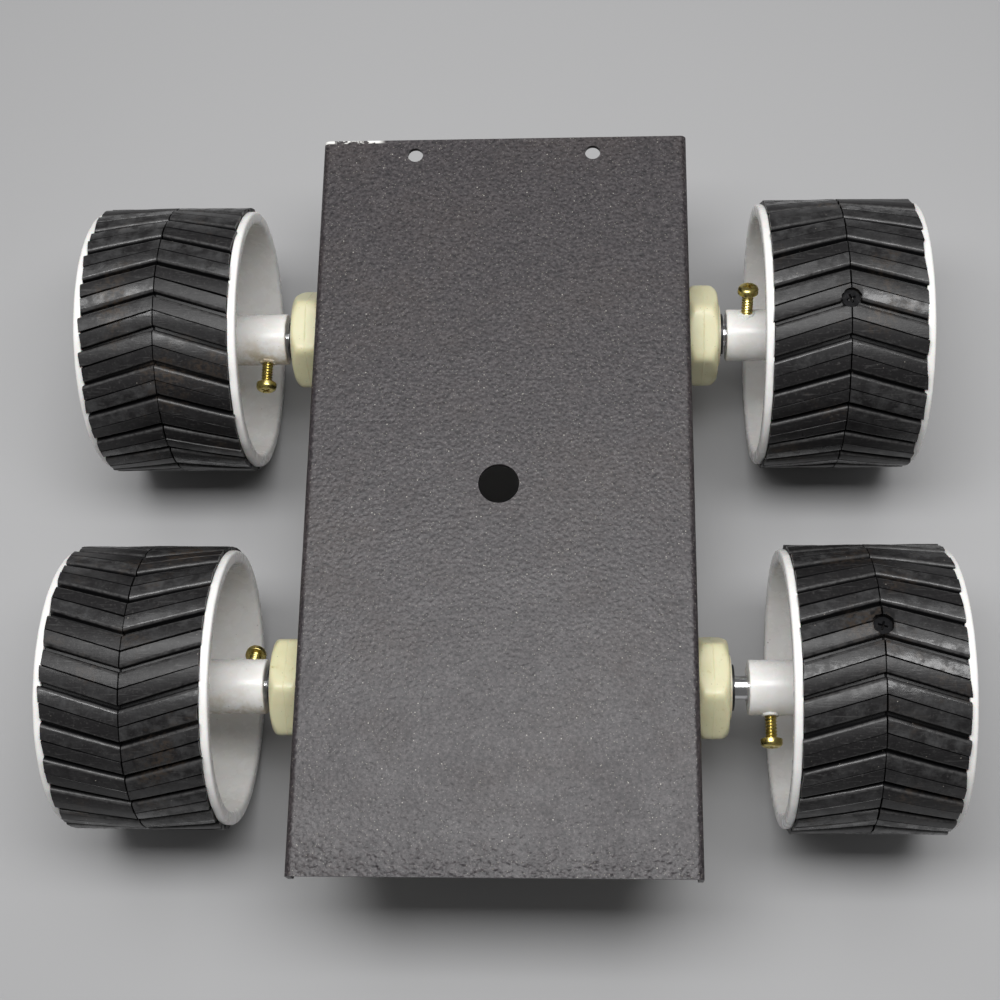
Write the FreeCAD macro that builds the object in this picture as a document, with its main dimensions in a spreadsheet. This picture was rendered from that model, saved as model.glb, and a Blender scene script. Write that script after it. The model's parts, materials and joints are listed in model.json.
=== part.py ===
import FreeCAD, Part
import math
import os
import Sketcher
import re

# Four-wheel robot chassis kit: a folded sheet-steel channel with a geared motor behind each wheel.
# Frame: +Z up, +X to the right, -Y the front. The origin is on the floor under the middle of the chassis.
# Each corner has its own axle frame: local +Z runs outwards along the axle from the chassis centre plane,
# local +Y is up, and every station along the axle is a distance from that plane.

Vector = FreeCAD.Vector

# Driving dimensions: millimetres and degrees.
DIMENSIONS = [
    ("channel_length", 190.0, "chassis, front edge to rear edge"),
    ("channel_width", 95.0, "chassis over the side walls"),
    ("channel_top", 55.0, "top face above the floor"),
    ("wall_height", 40.0, "side wall, top face to lower edge"),
    ("wall_end_height", 6.5, "side wall at each end of the channel"),
    ("wall_end_run", 30.0, "length of the slope that cuts back each end of a side wall"),
    ("sheet", 1.2, "sheet thickness"),
    ("bend_radius", 1.6, "outer bend radius"),
    ("wheelbase", 94.0, "front axle to rear axle"),
    ("axle_height", 35.0, "axle above the floor"),
    ("centre_hole_radius", 5.0, "hole in the middle of the top"),
    ("centre_hole_shift", 1.0, "centre hole, towards the front"),
    ("rear_hole_radius", 2.0, "two holes near the rear edge"),
    ("rear_hole_spacing", 46.4, "between the two rear holes"),
    ("rear_hole_margin", 4.5, "rear holes from the rear edge"),
    ("boss_radius", 7.9, "threaded boss of the gearbox"),
    ("boss_bore", 3.05, "shaft bearing in the boss"),
    ("boss_end", 56.0, "station of the boss end"),
    ("boss_clearance", 0.2, "radial gap between boss and wall hole"),
    ("nut_circumradius", 13.4, "hex nut over its corners"),
    ("nut_height", 7.8, "hex nut thickness"),
    ("nut_face_radius", 11.9, "flat ring left by the nut's chamfer"),
    ("nut_chamfer", 1.2, "depth of the nut's chamfer"),
    ("thread_gap", 0.02, "radial gap between a plain thread and its hole"),
    ("gearbox_radius", 18.5, "gearbox outside"),
    ("gearbox_wall", 1.2, "gearbox side wall"),
    ("gearbox_plate", 2.0, "gearbox front plate"),
    ("cover_station", 31.5, "station of the cover's inner face"),
    ("cover_thickness", 1.6, "gearbox cover"),
    ("collar_height", 2.0, "collar on the cover round the motor can"),
    ("collar_wall", 1.3, "wall of that collar"),
    ("post_circle", 16.2, "radius of the circle of screw posts"),
    ("post_radius", 2.0, "screw post"),
    ("box_screw_radius", 1.0, "gearbox screw shank"),
    ("box_screw_head", 1.9, "gearbox screw head radius"),
    ("box_screw_length", 8.0, "gearbox screw shank length"),
    ("head_clearance", 0.4, "radial gap round a gearbox screw head in the collar"),
    ("gear_module", 0.4, "module of every gear"),
    ("wheel_teeth", 34, "teeth of each large gear"),
    ("pinion_teeth", 12, "teeth of each pinion"),
    ("pressure_angle", 20.0, "degrees"),
    ("tooth_thinning", 0.1, "backlash taken off each tooth"),
    ("pin_radius", 0.75, "gear pin"),
    ("pin_clearance", 0.05, "radial clearance of a gear on its pin"),
    ("pin_seat", 1.0, "depth that a gear pin enters each plate"),
    ("spacer_radius", 1.5, "spacer that holds a gear in place on its pin"),
    ("output_level", 39.8, "station of the output gear's inner face"),
    ("second_level", 36.0, "station of the second gear's inner face"),
    ("first_level", 32.7, "station of the first gear's inner face"),
    ("output_face", 4.0, "output gear face width"),
    ("second_face", 3.0, "second gear face width"),
    ("first_face", 2.5, "first gear face width"),
    ("can_radius", 14.0, "motor can"),
    ("can_wall", 0.8, "motor can sheet"),
    ("can_end", 6.0, "station of the can's open end"),
    ("magnet_radius", 10.2, "inside of the magnets"),
    ("magnet_length", 15.0, "magnet along the axle"),
    ("magnet_start", 11.0, "station of the magnets' inner end"),
    ("rotor_radius", 1.0, "rotor shaft"),
    ("rotor_clearance", 0.05, "radial clearance of the rotor shaft"),
    ("armature_radius", 9.6, "armature"),
    ("armature_length", 13.0, "armature stack"),
    ("commutator_radius", 3.0, "commutator"),
    ("commutator_length", 3.0, "commutator"),
    ("cap_thickness", 1.6, "end cap flange"),
    ("cap_spigot", 2.0, "end cap spigot inside the can"),
    ("terminal_width", 2.0, "motor terminal"),
    ("terminal_length", 2.5, "motor terminal beyond the cap"),
    ("terminal_thickness", 0.5, "motor terminal"),
    ("terminal_offset", 8.0, "motor terminal from the axle"),
    ("shaft_radius", 3.0, "output shaft"),
    ("shaft_start", 39.4, "station of the shaft's inner end"),
    ("shaft_end", 78.0, "station of the shaft's outer end"),
    ("shaft_chamfer", 0.5, "chamfer on the shaft's outer end"),
    ("clip_radius", 5.65, "retaining clip outside"),
    ("clip_groove", 2.5, "bottom of the clip's groove"),
    ("clip_thickness", 0.7, "retaining clip"),
    ("clip_gap", 0.1, "clip from the boss end"),
    ("clip_mouth", 4.4, "opening of the clip"),
    ("rim_width", 40.6, "rim over its lips"),
    ("rim_seat", 32.2, "radius that the tread sits on"),
    ("rim_inside", 30.0, "inside of the drum"),
    ("lip_radius", 33.7, "rim lip"),
    ("lip_width", 2.0, "rim lip along the axle"),
    ("mouth_chamfer", 1.0, "chamfer inside each lip"),
    ("web_start", 28.2, "rim web from the inner rim plane"),
    ("web_thickness", 3.0, "rim web"),
    ("hub_radius", 6.75, "hub"),
    ("hub_overhang", 7.3, "hub beyond the inner rim plane"),
    ("hub_bore_depth", 28.0, "blind bore in the hub"),
    ("outer_boss", 4.0, "hub boss on the outer face of the web"),
    ("tread_radius", 35.0, "over the lugs"),
    ("groove_depth", 1.4, "tread groove"),
    ("groove_width", 1.4, "tread groove"),
    ("lug_count", 25, "chevrons round the tread"),
    ("chevron_slope", 17.0, "degrees from the axle direction"),
    ("hub_screw_radius", 1.5, "M3 screw in the hub"),
    ("hub_screw_inset", 5.3, "hub screw from the end of the hub"),
    ("hub_screw_exposed", 5.8, "thread between the hub and the screw head"),
    ("hub_head_radius", 2.65, "head of the hub screw"),
    ("hub_head_height", 2.1, "head of the hub screw"),
    ("tread_screw_radius", 1.2, "tread screw shank"),
    ("tread_screw_head", 2.35, "tread screw head radius"),
    ("tread_screw_head_depth", 1.4, "cone under the tread screw head"),
    ("tread_screw_length", 6.5, "tread screw, head included"),
    ("tread_screw_sink", 0.5, "tread screw head below the lug tops"),
    ("rear_left_seat", 65.0, "station of each wheel's inner rim plane"),
    ("front_left_seat", 65.0, ""),
    ("rear_right_seat", 65.0, ""),
    ("front_right_seat", 67.6, ""),
]

# Angles in each axle frame are degrees from local +X (the rear on the right-hand side, the front on the
# left-hand side) towards local +Y (up). apex is the way that the chevrons point round the axle, groove is
# where one groove crosses the middle of the tread.
CORNERS = {
    "rear_left": {"side": -1, "end": 1, "hub_screw": 0, "tread_screw": 250, "apex": 1, "groove": 85.3,
                  "nut": 23},
    "front_left": {"side": -1, "end": -1, "hub_screw": 220, "tread_screw": 290, "apex": -1,
                   "groove": 83.5, "nut": 46},
    "rear_right": {"side": 1, "end": 1, "hub_screw": 57, "tread_screw": 99, "apex": -1, "groove": 86.5,
                   "nut": -52},
    "front_right": {"side": 1, "end": -1, "hub_screw": 180, "tread_screw": 79, "apex": -1,
                    "groove": 83.1, "nut": -21},
}
FIRST_GEAR_ANGLE = 60.0
SECOND_GEAR_ANGLE = 120.0
POST_ANGLES = (-20.0, -90.0, -160.0)
MAGNET_ANGLES = (90.0, 270.0)
MAGNET_SPAN = 110.0

doc = FreeCAD.newDocument("four_wheel_robot")
sheet = doc.addObject("Spreadsheet::Sheet", "dims")
for row, (alias, value, note) in enumerate(DIMENSIONS, start=1):
    sheet.set(f"A{row}", alias)
    sheet.set(f"B{row}", str(value))
    sheet.set(f"C{row}", note)
    sheet.setAlias(f"B{row}", alias)
doc.recompute()

ALIAS = re.compile(r"\b(" + "|".join(alias for alias, _, _ in DIMENSIONS) + r")\b")
nodes = {}


def dim(alias):
    """The number that the sheet holds under this alias."""
    return float(sheet.get(alias))


def bind(thing, prop, text):
    """Tie a property to a formula written with the sheet's aliases."""
    thing.setExpression(prop, ALIAS.sub(r"dims.\1", text))


def node(label, thing, placement=None):
    """Name a finished sub-part and put it in its place."""
    if placement:
        thing.Placement = placement
    thing.Label = label
    nodes[label] = thing


# ---- primitives and booleans ----------------------------------------------------------------------


def primitive(kind, place, **sizes):
    """A Part primitive whose sizes are formulas; place is a formula for Z or a Placement."""
    thing = doc.addObject("Part::" + kind, kind)
    for prop, text in sizes.items():
        bind(thing, prop, text)
    if isinstance(place, str):
        bind(thing, "Placement.Base.z", place)
    else:
        thing.Placement = place
    return thing


def cylinder(radius, height, place="0"):
    return primitive("Cylinder", place, Radius=radius, Height=height)


def cone(radius_low, radius_high, height, place="0"):
    return primitive("Cone", place, Radius1=radius_low, Radius2=radius_high, Height=height)


def fuse(*things):
    joined = doc.addObject("Part::MultiFuse", "Fuse")
    joined.Shapes = list(things)
    joined.Refine = True
    return joined


def cut(base, *tools):
    result = doc.addObject("Part::Cut", "Cut")
    result.Base = base
    result.Tool = tools[0] if len(tools) == 1 else fuse(*tools)
    return result


def common(first, second):
    result = doc.addObject("Part::Common", "Common")
    result.Base = first
    result.Tool = second
    return result


def group(things):
    """Several separate solids that share one node."""
    compound = doc.addObject("Part::Compound", "Group")
    compound.Links = list(things)
    return compound


def tube(outer, inner, height, place="0"):
    return cut(cylinder(outer, height, place), cylinder(inner, height, place))


# ---- placements -----------------------------------------------------------------------------------


def axle_frame(corner, station=0.0):
    """Placement of a corner's axle frame, moved outwards along the axle to a station."""
    side = corner["side"]
    turn = FreeCAD.Rotation(Vector(0, side, 0), Vector(0, 0, 1), Vector(side, 0, 0), "ZXY")
    middle = Vector(side * station, corner["end"] * dim("wheelbase") / 2, dim("axle_height"))
    return FreeCAD.Placement(middle, turn)


def polar(radius, angle, station=0.0):
    """Point at a radius and angle round the axle."""
    turn = math.radians(angle)
    return Vector(radius * math.cos(turn), radius * math.sin(turn), station)


def beside(radius, angle, station=0.0):
    """Placement beside the axle, still pointing along it."""
    return FreeCAD.Placement(polar(radius, angle, station), FreeCAD.Rotation())


def radial(radius, angle, station):
    """Placement at a radius and angle whose +Z points away from the axle."""
    outwards = FreeCAD.Rotation(Vector(0, 0, 1), polar(1, angle))
    return FreeCAD.Placement(polar(radius, angle, station), outwards)


# ---- chassis --------------------------------------------------------------------------------------


def plane(body, role):
    return [f for f in body.Origin.OriginFeatures if f.Role == role][0]


def sketch(body, name, role):
    drawing = body.newObject("Sketcher::SketchObject", name)
    drawing.AttachmentSupport = [(plane(body, role), "")]
    drawing.MapMode = "FlatFace"
    return drawing


def add_rectangle(drawing, left, right, low, high):
    """Rectangle whose four sides are held at formulas, measured from the sketch's origin."""
    corners = [Vector(-1, -1, 0), Vector(1, -1, 0), Vector(1, 1, 0), Vector(-1, 1, 0)]
    first = drawing.GeometryCount
    for index in range(4):
        drawing.addGeometry(Part.LineSegment(corners[index] * 9, corners[(index + 1) % 4] * 9))
    for index in range(4):
        after = first + (index + 1) % 4
        drawing.addConstraint(Sketcher.Constraint("Coincident", first + index, 2, after, 1))
    for index, way in enumerate(("Horizontal", "Vertical", "Horizontal", "Vertical")):
        drawing.addConstraint(Sketcher.Constraint(way, first + index))
    held = [("DistanceX", first, 1, left), ("DistanceX", first, 2, right),
            ("DistanceY", first, 1, low), ("DistanceY", first + 2, 1, high)]
    for kind, line, end, text in held:
        number = drawing.addConstraint(Sketcher.Constraint(kind, -1, 1, line, end, 1.0))
        bind(drawing, f"Constraints[{number}]", text)


def add_circle(drawing, across, up, radius):
    """Circle whose centre and radius are formulas."""
    ring = drawing.addGeometry(Part.Circle(Vector(3, 3, 0), Vector(0, 0, 1), 2))
    held = [("DistanceX", across), ("DistanceY", up)]
    for kind, text in held:
        number = drawing.addConstraint(Sketcher.Constraint(kind, -1, 1, ring, 3, 3.0))
        bind(drawing, f"Constraints[{number}]", text)
    number = drawing.addConstraint(Sketcher.Constraint("Radius", ring, 2.0))
    bind(drawing, f"Constraints[{number}]", radius)


def add_triangle(drawing, corners):
    """Triangle whose corners are pairs of formulas."""
    first = drawing.GeometryCount
    guess = [Vector(9, 0, 0), Vector(-9, -9, 0), Vector(20, -20, 0)]
    for index in range(3):
        drawing.addGeometry(Part.LineSegment(guess[index], guess[(index + 1) % 3]))
    for index in range(3):
        drawing.addConstraint(Sketcher.Constraint("Coincident", first + index, 2, first + (index + 1) % 3, 1))
    for index, pair in enumerate(corners):
        for kind, text in zip(("DistanceX", "DistanceY"), pair):
            number = drawing.addConstraint(Sketcher.Constraint(kind, -1, 1, first + index, 1, 1.0))
            bind(drawing, f"Constraints[{number}]", text)


def pocket_through(body, drawing, name):
    """Pocket both ways through everything; it has to take material away."""
    before = body.Shape.Volume
    hole = body.newObject("PartDesign::Pocket", name)
    hole.Profile = drawing
    hole.Type = "ThroughAll"
    hole.Midplane = True
    doc.recompute()
    if body.Shape.Volume >= before:
        raise RuntimeError(name + " cuts nothing")
    return hole


def long_edges(shape, across, up):
    """Names of the edges that run the length of the channel at this distance across and height."""
    names = []
    for number, edge in enumerate(shape.Edges, start=1):
        middle = edge.CenterOfMass
        along = abs(edge.tangentAt(edge.FirstParameter).y) > 0.99
        if along and abs(abs(middle.x) - across) < 0.01 and abs(middle.z - up) < 0.01:
            names.append(f"Edge{number}")
    return names


def round_edges(body, base, names, radius, name):
    bend = body.newObject("PartDesign::Fillet", name)
    bend.Base = (base, names)
    bind(bend, "Radius", radius)
    doc.recompute()
    return bend


def build_chassis():
    """Open-ended channel: a flat top and two side walls, with rounded bends."""
    body = doc.addObject("PartDesign::Body", "channel")
    outline = sketch(body, "outline", "XZ_Plane")
    wall_foot = "channel_top - wall_height"
    add_rectangle(outline, "-channel_width / 2", "channel_width / 2", wall_foot, "channel_top")
    block = body.newObject("PartDesign::Pad", "block")
    block.Profile = outline
    block.Midplane = True
    bind(block, "Length", "channel_length")
    doc.recompute()

    hollow = sketch(body, "hollow", "XZ_Plane")
    inner_half = "channel_width / 2 - sheet"
    add_rectangle(hollow, f"-({inner_half})", inner_half, f"{wall_foot} - 1", "channel_top - sheet")
    opened = pocket_through(body, hollow, "opened")

    half = dim("channel_width") / 2
    top = dim("channel_top")
    names = long_edges(opened.Shape, half, top)
    outside = round_edges(body, opened, names, "bend_radius", "outer_bend")
    names = long_edges(outside.Shape, half - dim("sheet"), top - dim("sheet"))
    round_edges(body, outside, names, "bend_radius - sheet", "inner_bend")

    tops = sketch(body, "top_holes", "XY_Plane")
    add_circle(tops, "0", "-centre_hole_shift", "centre_hole_radius")
    for sign in ("-", ""):
        rear = "channel_length / 2 - rear_hole_margin"
        add_circle(tops, sign + "rear_hole_spacing / 2", rear, "rear_hole_radius")
    pocket_through(body, tops, "top_hole_cut")

    walls = sketch(body, "wall_holes", "YZ_Plane")
    for sign in ("-", ""):
        add_circle(walls, sign + "wheelbase / 2", "axle_height", "boss_radius + boss_clearance")
    pocket_through(body, walls, "wall_hole_cut")

    ends = sketch(body, "wall_ends", "YZ_Plane")
    for sign in ("-", ""):
        outer = "channel_length / 2"
        add_triangle(ends, [(f"{sign}({outer})", "channel_top - wall_end_height"),
                            (f"{sign}({outer} - wall_end_run)", wall_foot),
                            (f"{sign}({outer} + 5)", f"{wall_foot} - 5")])
    pocket_through(body, ends, "wall_end_cut")
    node("chassis", body)


# ---- gears ----------------------------------------------------------------------------------------


def gear_blank(teeth, face_width, turn, station):
    """Solid spur gear with involute flanks and stub teeth; one tooth is centred on the angle turn."""
    module = dim("gear_module")
    slope = math.radians(dim("pressure_angle"))
    pitch_radius = module * teeth / 2
    base_radius = pitch_radius * math.cos(slope)
    tip_radius = pitch_radius + 0.8 * module
    root_radius = pitch_radius - 1.15 * module
    half_tooth = (math.pi * module / 2 - dim("tooth_thinning")) / 2 / pitch_radius

    def half_angle(radius):
        """Half the angle that a tooth takes up at this radius."""
        roll = math.acos(min(1.0, base_radius / radius))
        return half_tooth + (math.tan(slope) - slope) - (math.tan(roll) - roll)

    flank_start = max(base_radius, root_radius)
    steps = 4
    radii = [flank_start + (tip_radius - flank_start) * i / steps for i in range(steps + 1)]
    side = [(root_radius, half_angle(flank_start))] + [(r, half_angle(r)) for r in radii]
    points = []
    for tooth in range(int(teeth)):
        middle = math.radians(turn) + 2 * math.pi * tooth / teeth
        for radius, half in side:
            points.append(polar(radius, math.degrees(middle - half), station))
        for radius, half in reversed(side):
            points.append(polar(radius, math.degrees(middle + half), station))
    outline = Part.makePolygon(points + points[:1])
    return Part.Face(outline).extrude(Vector(0, 0, face_width))


def shaped(name, shape):
    """A sub-part whose shape is worked out in code."""
    feature = doc.addObject("Part::Feature", name)
    feature.Shape = shape
    return feature


def gear_centre():
    """Distance between the two axes of every mesh."""
    return dim("gear_module") * (dim("wheel_teeth") + dim("pinion_teeth")) / 2


def half_pitch():
    """Angle from a tooth of a large gear to the gap beside it."""
    return 180.0 / dim("wheel_teeth")


def compound_gear(level, face, pinion_end, gear_turn, pinion_turn, spacer_low, spacer_high):
    """Large gear with a pinion on its outer face and spacers at both ends, bored for its pin."""
    big = gear_blank(dim("wheel_teeth"), face, gear_turn, level)
    small = gear_blank(dim("pinion_teeth"), pinion_end - level - face, pinion_turn, level + face)
    spacer = Part.makeCylinder(dim("spacer_radius"), spacer_high - spacer_low, Vector(0, 0, spacer_low))
    bore_radius = dim("pin_radius") + dim("pin_clearance")
    bore = Part.makeCylinder(bore_radius, spacer_high - spacer_low, Vector(0, 0, spacer_low))
    return big.fuse([small, spacer]).removeSplitter().cut(bore)


def build_gears(name, corner):
    """The two compound gears and the output gear of one gearbox, in mesh at rest."""
    end_play = 0.1
    low = dim("cover_station") + end_play
    high = dim("channel_width") / 2 - dim("sheet") - dim("gearbox_plate") - end_play
    first_turn = FIRST_GEAR_ANGLE + 180 + half_pitch()
    first = compound_gear(dim("first_level"), dim("first_face"), dim("second_level") + dim("second_face"),
                          first_turn, 180.0, low, high)
    second = compound_gear(dim("second_level"), dim("second_face"), high, half_pitch(),
                           SECOND_GEAR_ANGLE + 180, low, high)
    frame = axle_frame(corner)
    node(name + "_first_gear", shaped("first_gear", first),
         frame * beside(gear_centre(), FIRST_GEAR_ANGLE))
    node(name + "_second_gear", shaped("second_gear", second),
         frame * beside(gear_centre(), SECOND_GEAR_ANGLE))

    level = dim("output_level")
    output = gear_blank(dim("wheel_teeth"), dim("output_face"), SECOND_GEAR_ANGLE + half_pitch(), level)
    bore = Part.makeCylinder(dim("shaft_radius"), dim("output_face"), Vector(0, 0, level))
    node(name + "_output_gear", shaped("output_gear", output.cut(bore)), frame)


# ---- gearbox and motor ----------------------------------------------------------------------------


def gear_pin_places(station):
    return [beside(gear_centre(), angle, station) for angle in (FIRST_GEAR_ANGLE, SECOND_GEAR_ANGLE)]


def post_places(station):
    return [beside(dim("post_circle"), angle, station) for angle in POST_ANGLES]


def gearbox_housing(corner):
    """Cup with a front plate, three screw posts and the threaded boss that goes through the wall."""
    front = dim("channel_width") / 2 - dim("sheet")
    back = "cover_station"
    inner_face = "channel_width / 2 - sheet - gearbox_plate"
    plate = cylinder("gearbox_radius", "gearbox_plate", inner_face)
    wall = tube("gearbox_radius", "gearbox_radius - gearbox_wall", f"{inner_face} - {back}", back)
    boss = cylinder("boss_radius", "boss_end - channel_width / 2 + sheet", "channel_width / 2 - sheet")
    posts = [cylinder("post_radius", f"{inner_face} - {back}", place)
             for place in post_places(dim("cover_station"))]
    bore = cylinder("boss_bore", f"boss_end - ({inner_face})", inner_face)
    seat_start = front - dim("gearbox_plate")
    seats = [cylinder("pin_radius + thread_gap", "pin_seat", place)
             for place in gear_pin_places(seat_start)]
    threads = [cylinder("box_screw_radius + thread_gap", "box_screw_length", place)
               for place in post_places(dim("cover_station"))]
    housing = cut(fuse(plate, wall, boss, *posts), bore, *seats, *threads)
    housing.Placement = axle_frame(corner)
    return housing


def gearbox_cover(corner):
    """Disc that closes the gearbox and holds the motor can in a collar."""
    start = "cover_station - cover_thickness"
    disc = cylinder("gearbox_radius", "cover_thickness", start)
    collar = tube("can_radius + thread_gap + collar_wall", "can_radius + thread_gap", "collar_height",
                  start + " - collar_height")
    middle = cylinder("2 * rotor_radius", "cover_thickness", start)
    pin_holes = [cylinder("pin_radius + thread_gap", "pin_seat", place)
                 for place in gear_pin_places(dim("cover_station") - dim("pin_seat"))]
    screw_start = dim("cover_station") - dim("cover_thickness")
    screw_holes = [cylinder("box_screw_radius + thread_gap", "cover_thickness", place)
                   for place in post_places(screw_start)]
    notches = [cylinder("box_screw_head + head_clearance", "collar_height", place)
               for place in post_places(screw_start - dim("collar_height"))]
    cover = cut(fuse(disc, cut(collar, *notches)), middle, *pin_holes, *screw_holes)
    cover.Placement = axle_frame(corner)
    return cover


def motor_can(corner):
    """Deep-drawn cup, open towards the middle of the chassis."""
    end = "cover_station - cover_thickness"
    outside = cylinder("can_radius", f"{end} - can_end", "can_end")
    inside = cylinder("can_radius - can_wall", f"{end} - can_end - can_wall", "can_end")
    bearing = cylinder("rotor_radius + rotor_clearance", f"{end} - can_end", "can_end")
    can = cut(outside, inside, bearing)
    can.Placement = axle_frame(corner)
    return can


def rotor(name, corner):
    """Rotor shaft with commutator, slotted armature and the motor pinion."""
    shaft_low = dim("can_end") - 1.0
    pinion_low = dim("first_level") - 0.4
    pinion_face = dim("first_face") + 0.4
    pinion_end = pinion_low + pinion_face
    radius = dim("armature_radius")
    armature_low = dim("magnet_start") + 1.0
    shaft = Part.makeCylinder(dim("rotor_radius"), pinion_end - shaft_low, Vector(0, 0, shaft_low))
    commutator_low = armature_low - dim("commutator_length") - 0.5
    commutator = Part.makeCylinder(dim("commutator_radius"), dim("commutator_length") + 0.5,
                                   Vector(0, 0, commutator_low))
    armature = Part.makeCylinder(radius, dim("armature_length"), Vector(0, 0, armature_low))
    slot_width = 1.2
    slot_depth = 4.5
    for turn in (0, 120, 240):
        slot = Part.makeBox(slot_depth + 1, slot_width, dim("armature_length"),
                            Vector(radius - slot_depth, -slot_width / 2, armature_low))
        slot.rotate(Vector(0, 0, 0), Vector(0, 0, 1), turn)
        armature = armature.cut(slot)
    pinion = gear_blank(dim("pinion_teeth"), pinion_face, FIRST_GEAR_ANGLE, pinion_low)
    whole = shaft.fuse([commutator, armature, pinion]).removeSplitter()
    node(name + "_rotor", shaped("rotor", whole), axle_frame(corner))


def end_cap(corner):
    """Moulded cap that closes the can and carries the rotor's inner bearing."""
    flange = cylinder("can_radius", "cap_thickness", "can_end - cap_thickness")
    spigot = cylinder("can_radius - can_wall - thread_gap", "cap_spigot", "can_end")
    brush_room = cylinder("commutator_radius + 1", "cap_spigot - 0.6", "can_end + 0.6")
    bearing = cylinder("rotor_radius + rotor_clearance", "2.2", "can_end - 1.2")
    cap = cut(fuse(flange, spigot), brush_room, bearing)
    cap.Placement = axle_frame(corner)
    return cap


def terminals(corner):
    """Two flat tags on the end cap, above and below the axle."""
    tags = []
    for sign in (-1, 1):
        corner_point = Vector(-dim("terminal_width") / 2,
                              sign * dim("terminal_offset") - dim("terminal_thickness") / 2,
                              dim("can_end") - dim("cap_thickness") - dim("terminal_length"))
        place = axle_frame(corner) * FreeCAD.Placement(corner_point, FreeCAD.Rotation())
        tags.append(primitive("Box", place, Length="terminal_width", Width="terminal_thickness",
                              Height="terminal_length"))
    return tags


def magnets(corner):
    """Two curved magnets inside the can."""
    outer = dim("can_radius") - dim("can_wall") - dim("thread_gap")
    result = []
    for middle in MAGNET_ANGLES:
        sector = FreeCAD.Rotation(Vector(0, 0, 1), middle - MAGNET_SPAN / 2)
        place = axle_frame(corner, dim("magnet_start")) * FreeCAD.Placement(Vector(), sector)
        shape = Part.makeCylinder(outer, dim("magnet_length"), Vector(), Vector(0, 0, 1), MAGNET_SPAN)
        shape = shape.cut(Part.makeCylinder(dim("magnet_radius"), dim("magnet_length")))
        magnet = shaped("magnet", shape)
        magnet.Placement = place
        result.append(magnet)
    return result


def gearbox_screws(corner):
    """Three screws that hold the cover on the housing, heads towards the motor."""
    cover_face = dim("cover_station") - dim("cover_thickness")
    head_height = 1.4
    screws = []
    for angle in POST_ANGLES:
        shank = cylinder("box_screw_radius", "box_screw_length", beside(0, 0, 0))
        head = cylinder("box_screw_head", str(head_height), beside(0, 0, -head_height))
        screw = fuse(shank, head)
        screw.Placement = axle_frame(corner) * beside(dim("post_circle"), angle, cover_face)
        screws.append(screw)
    return screws


def gear_pins(corner):
    """Two fixed pins between the cover and the front plate."""
    start = dim("cover_station") - dim("pin_seat")
    length = "channel_width / 2 - sheet - gearbox_plate - cover_station + 2 * pin_seat"
    return [cylinder("pin_radius", length, axle_frame(corner) * place)
            for place in gear_pin_places(start)]


def motor_nut(corner):
    """Hex nut, chamfered on both faces, on the boss outside the wall."""
    prism = primitive("Prism", "0", Circumradius="nut_circumradius", Height="nut_height")
    prism.Polygon = 6
    low = cone("nut_face_radius", "nut_circumradius", "nut_chamfer")
    middle = cylinder("nut_circumradius", "nut_height - 2 * nut_chamfer", "nut_chamfer")
    high = cone("nut_circumradius", "nut_face_radius", "nut_chamfer", "nut_height - nut_chamfer")
    bore = cylinder("boss_radius + thread_gap", "nut_height")
    nut = cut(common(prism, fuse(low, middle, high)), bore)
    turn = FreeCAD.Rotation(Vector(0, 0, 1), 90 - corner["nut"] * corner["side"])
    nut.Placement = axle_frame(corner, dim("channel_width") / 2) * FreeCAD.Placement(Vector(), turn)
    return nut


# ---- wheel ----------------------------------------------------------------------------------------


def output_shaft(name, corner):
    """Steel shaft with a groove for the clip and a chamfered outer end."""
    straight = cylinder("shaft_radius", "shaft_end - shaft_start - shaft_chamfer", "shaft_start")
    tip = cone("shaft_radius", "shaft_radius - shaft_chamfer", "shaft_chamfer", "shaft_end - shaft_chamfer")
    groove = tube("shaft_radius + 1", "clip_groove", "clip_thickness", "boss_end + clip_gap")
    node(name + "_output_shaft", cut(fuse(straight, tip), groove), axle_frame(corner))


def shaft_clip(name, corner):
    """Retaining clip, open on one side, in the shaft's groove against the boss."""
    ring = tube("clip_radius", "clip_groove + thread_gap", "clip_thickness", "boss_end + clip_gap")
    mouth_corner = Vector(0, -dim("clip_mouth") / 2, dim("boss_end") + dim("clip_gap"))
    mouth = primitive("Box", FreeCAD.Placement(mouth_corner, FreeCAD.Rotation()),
                      Length="clip_radius + 1", Width="clip_mouth", Height="clip_thickness")
    turn = FreeCAD.Placement(Vector(), FreeCAD.Rotation(Vector(0, 0, 1), corner["hub_screw"] + 140))
    node(name + "_shaft_clip", cut(ring, mouth), axle_frame(corner) * turn)


def rim(name, corner, wheel_frame):
    """Drum with two lips."""
    drum = tube("rim_seat", "rim_inside", "rim_width")
    lips = [tube("lip_radius", "rim_inside", "lip_width", start)
            for start in ("0", "rim_width - lip_width")]
    mouth_wide = "rim_inside + mouth_chamfer"
    inner_mouth = cone(mouth_wide, "rim_inside", "mouth_chamfer")
    outer_mouth = cone("rim_inside", mouth_wide, "mouth_chamfer", "rim_width - mouth_chamfer")
    tread_hole = cylinder("tread_screw_radius + thread_gap", "lip_radius - rim_inside + 2",
                          radial(dim("rim_inside") - 1, corner["tread_screw"], dim("rim_width") / 2))
    node(name + "_rim", cut(fuse(drum, *lips), inner_mouth, outer_mouth, tread_hole), wheel_frame)


def wheel_disc(name, corner, wheel_frame):
    """Flat web between the hub and the drum, near the drum's outer face."""
    node(name + "_wheel_disc", tube("rim_inside", "hub_radius", "web_thickness", "web_start"), wheel_frame)


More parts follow.
